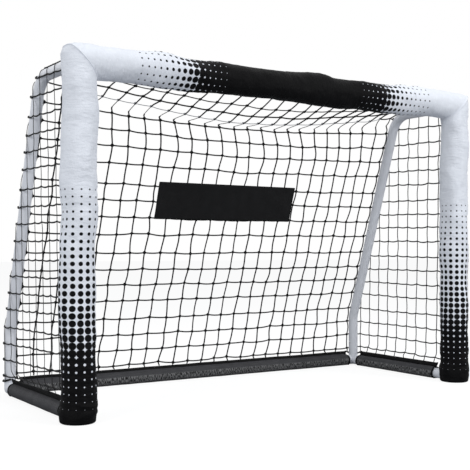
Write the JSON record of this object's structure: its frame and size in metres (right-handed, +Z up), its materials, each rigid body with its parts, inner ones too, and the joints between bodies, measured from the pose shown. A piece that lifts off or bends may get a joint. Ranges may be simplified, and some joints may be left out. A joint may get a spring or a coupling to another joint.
{
  "type": "football goal",
  "caption": "Free-standing padded garden football goal: plug-together tube frame, foam pads in printed fabric sleeves, knotted net and fabric sleeves on the ground tubes.",
  "frame": {"origin": "on the floor, midway between the posts and midway between the front of the pads and the back of the net", "axes": "+X along the crossbar to the right as seen from the front, +Z up, and the mouth faces -Y"},
  "size_m": [1.806, 0.7339, 1.21],
  "materials": {
    "tube_white": "white powder coat, satin",
    "foam": "closed-cell foam, hidden by the sleeves",
    "printed_fabric": "white polyester sleeve with a black halftone print",
    "black_fabric": "black woven polyester, hemmed",
    "net_cord": "black knotted polyethylene cord",
    "light_cord": "light grey braided cord",
    "banner_fabric": "black woven cloth panel, bare, with a stitched hem",
    "spring_steel": "bare spring steel",
    "button_steel": "zinc plated, satin"
  },
  "bodies": {
    "frame": {"left_top_corner": "tube_white", "left_foot_corner": "tube_white", "left_rear_corner": "tube_white", "left_post_lower_tube": "tube_white", "left_post_upper_tube": "tube_white", "left_side_upper_tube": "tube_white", "left_side_lower_tube": "tube_white", "left_ground_tube": "tube_white", "rear_ground_left_tube": "tube_white", "crossbar_left_tube": "tube_white", "left_post_foam": "foam", "left_post_sleeve": "printed_fabric", "left_ground_sleeve": "black_fabric", "left_side_net": "net_cord", "right_top_corner": "tube_white", "right_foot_corner": "tube_white", "right_rear_corner": "tube_white", "right_post_lower_tube": "tube_white", "right_post_upper_tube": "tube_white", "right_side_upper_tube": "tube_white", "right_side_lower_tube": "tube_white", "right_ground_tube": "tube_white", "rear_ground_right_tube": "tube_white", "crossbar_right_tube": "tube_white", "right_post_foam": "foam", "right_post_sleeve": "printed_fabric", "right_ground_sleeve": "black_fabric", "right_side_net": "net_cord", "crossbar_foam": "foam", "crossbar_sleeve": "printed_fabric", "rear_ground_sleeve": "black_fabric", "back_net": "net_cord", "roof_net": "net_cord", "ridge_cord": "light_cord", "banner": "banner_fabric", "button_clips": "spring_steel"},
    "left_foot_catch": {"left_foot_button": "button_steel"},
    "left_post_catch": {"left_post_button": "button_steel"},
    "left_top_catch": {"left_top_button": "button_steel"},
    "left_roof_catch": {"left_roof_button": "button_steel"},
    "left_slope_catch": {"left_slope_button": "button_steel"},
    "left_rear_catch": {"left_rear_button": "button_steel"},
    "crossbar_left_catch": {"crossbar_left_button": "button_steel"},
    "right_foot_catch": {"right_foot_button": "button_steel"},
    "right_post_catch": {"right_post_button": "button_steel"},
    "right_top_catch": {"right_top_button": "button_steel"},
    "right_roof_catch": {"right_roof_button": "button_steel"},
    "right_slope_catch": {"right_slope_button": "button_steel"},
    "right_rear_catch": {"right_rear_button": "button_steel"},
    "crossbar_right_catch": {"crossbar_right_button": "button_steel"},
    "crossbar_mid_catch": {"crossbar_mid_button": "button_steel"}
  },
  "joints": [
    {"name": "left_foot_press", "type": "slide", "parent": "frame", "child": "left_foot_catch", "axis": [0, -1, 0], "range_m": [0, 0.00525], "stiffness_N_per_m": 1500, "springref_m": -0.002},
    {"name": "left_post_press", "type": "slide", "parent": "frame", "child": "left_post_catch", "axis": [0, -1, 0], "range_m": [0, 0.00525], "stiffness_N_per_m": 1500, "springref_m": -0.002},
    {"name": "left_top_press", "type": "slide", "parent": "frame", "child": "left_top_catch", "axis": [0, -1, 0], "range_m": [0, 0.00525], "stiffness_N_per_m": 1500, "springref_m": -0.002},
    {"name": "left_roof_press", "type": "slide", "parent": "frame", "child": "left_roof_catch", "axis": [-1, 0, 0], "range_m": [0, 0.00525], "stiffness_N_per_m": 1500, "springref_m": -0.002},
    {"name": "left_slope_press", "type": "slide", "parent": "frame", "child": "left_slope_catch", "axis": [-1, 0, 0], "range_m": [0, 0.00525], "stiffness_N_per_m": 1500, "springref_m": -0.002},
    {"name": "left_rear_press", "type": "slide", "parent": "frame", "child": "left_rear_catch", "axis": [-1, 0, 0], "range_m": [0, 0.00525], "stiffness_N_per_m": 1500, "springref_m": -0.002},
    {"name": "crossbar_left_press", "type": "slide", "parent": "frame", "child": "crossbar_left_catch", "axis": [0, -1, 0], "range_m": [0, 0.00525], "stiffness_N_per_m": 1500, "springref_m": -0.002},
    {"name": "right_foot_press", "type": "slide", "parent": "frame", "child": "right_foot_catch", "axis": [0, -1, 0], "range_m": [0, 0.00525], "stiffness_N_per_m": 1500, "springref_m": -0.002},
    {"name": "right_post_press", "type": "slide", "parent": "frame", "child": "right_post_catch", "axis": [0, -1, 0], "range_m": [0, 0.00525], "stiffness_N_per_m": 1500, "springref_m": -0.002},
    {"name": "right_top_press", "type": "slide", "parent": "frame", "child": "right_top_catch", "axis": [0, -1, 0], "range_m": [0, 0.00525], "stiffness_N_per_m": 1500, "springref_m": -0.002},
    {"name": "right_roof_press", "type": "slide", "parent": "frame", "child": "right_roof_catch", "axis": [1, 0, 0], "range_m": [0, 0.00525], "stiffness_N_per_m": 1500, "springref_m": -0.002},
    {"name": "right_slope_press", "type": "slide", "parent": "frame", "child": "right_slope_catch", "axis": [1, 0, 0], "range_m": [0, 0.00525], "stiffness_N_per_m": 1500, "springref_m": -0.002},
    {"name": "right_rear_press", "type": "slide", "parent": "frame", "child": "right_rear_catch", "axis": [1, 0, 0], "range_m": [0, 0.00525], "stiffness_N_per_m": 1500, "springref_m": -0.002},
    {"name": "crossbar_right_press", "type": "slide", "parent": "frame", "child": "crossbar_right_catch", "axis": [0, -1, 0], "range_m": [0, 0.00525], "stiffness_N_per_m": 1500, "springref_m": -0.002},
    {"name": "crossbar_mid_press", "type": "slide", "parent": "frame", "child": "crossbar_mid_catch", "axis": [0, -1, 0], "range_m": [0, 0.00525], "stiffness_N_per_m": 1500, "springref_m": -0.002}
  ]
}
